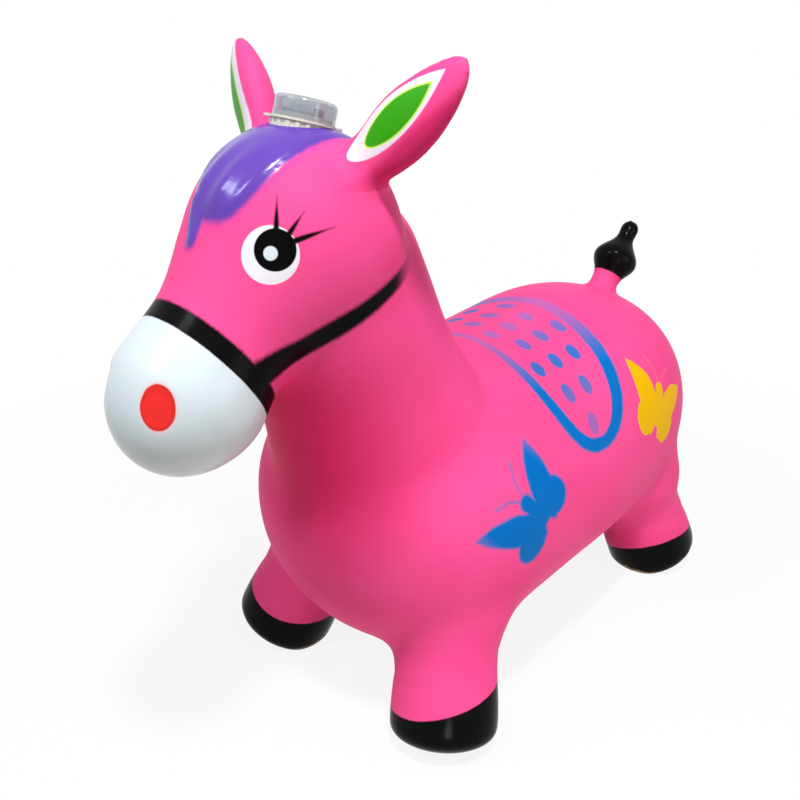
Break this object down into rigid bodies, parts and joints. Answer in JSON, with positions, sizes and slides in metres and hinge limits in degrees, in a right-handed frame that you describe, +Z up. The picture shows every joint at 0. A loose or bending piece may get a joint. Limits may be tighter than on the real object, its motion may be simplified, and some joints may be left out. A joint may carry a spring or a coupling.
{
  "type": "bouncy horse hopper",
  "caption": "Inflated rubber horse that a small child sits on and bounces, with a clear light-and-sound module in its crown, an air stopper in its belly and flat hooves to stand on.",
  "frame": {"origin": "middle of the ground that the toy covers, on the plane of the four soles", "axes": "+Z up, nose towards -Y, the horse's left side towards +X"},
  "size_m": [0.2576, 0.5502, 0.486],
  "materials": {
    "pink_skin": "soft satin PVC",
    "white_paint": "gloss paint on PVC",
    "purple_paint": "gloss paint on PVC",
    "black_paint": "gloss paint on PVC",
    "white_plastic": "moulded",
    "yellow_plastic": "moulded, slightly yellowed",
    "clear_plastic": "clear, slightly frosted",
    "brown_board": "phenolic board",
    "black_resin": "cast resin",
    "grey_plastic": "moulded",
    "cell_steel": "plated",
    "spring_steel": "plated",
    "brass": "bright",
    "green_lens": "clear epoxy",
    "red_lens": "clear epoxy",
    "blue_lens": "clear epoxy",
    "cone_sheet": "thin sheet"
  },
  "bodies": {
    "horse": {"torso_skin": "pink_skin", "neck_skin": "pink_skin", "head_skin": "pink_skin", "muzzle_skin": "white_paint", "forelock": "purple_paint", "ear_left": "pink_skin", "ear_right": "pink_skin", "leg_front_left": "pink_skin", "leg_front_right": "pink_skin", "leg_rear_left": "pink_skin", "leg_rear_right": "pink_skin", "hoof_front_left": "black_paint", "hoof_front_right": "black_paint", "hoof_rear_left": "black_paint", "hoof_rear_right": "black_paint", "tail_stub": "pink_skin", "tail_tuft": "black_paint"},
    "stopper": {"valve_plug": "white_plastic"},
    "module": {"module_base": "yellow_plastic", "circuit_board": "brown_board", "sound_board": "brown_board", "chip_blob": "black_resin", "battery_holder": "grey_plastic", "button_cell_1": "cell_steel", "button_cell_2": "cell_steel", "button_cell_3": "cell_steel", "contact_spring": "spring_steel", "contact_plate": "brass", "led_green": "green_lens", "led_red": "red_lens", "led_blue": "blue_lens", "shake_spring": "spring_steel", "shake_pin": "brass", "board_screw_1": "spring_steel", "board_screw_2": "spring_steel", "speaker_frame": "spring_steel", "speaker_cone": "cone_sheet"},
    "cap": {"module_cap": "clear_plastic"}
  },
  "joints": [
    {"name": "module_pull", "type": "slide", "parent": "horse", "child": "module", "axis": [0, 0.2924, 0.9563], "range_m": [0, 0.028]},
    {"name": "cap_pull", "type": "slide", "parent": "module", "child": "cap", "axis": [0, 0.2924, 0.9563], "range_m": [0, 0.016]},
    {"name": "stopper_pull", "type": "slide", "parent": "horse", "child": "stopper", "axis": [0, 0, -1], "range_m": [0, 0.022]}
  ]
}
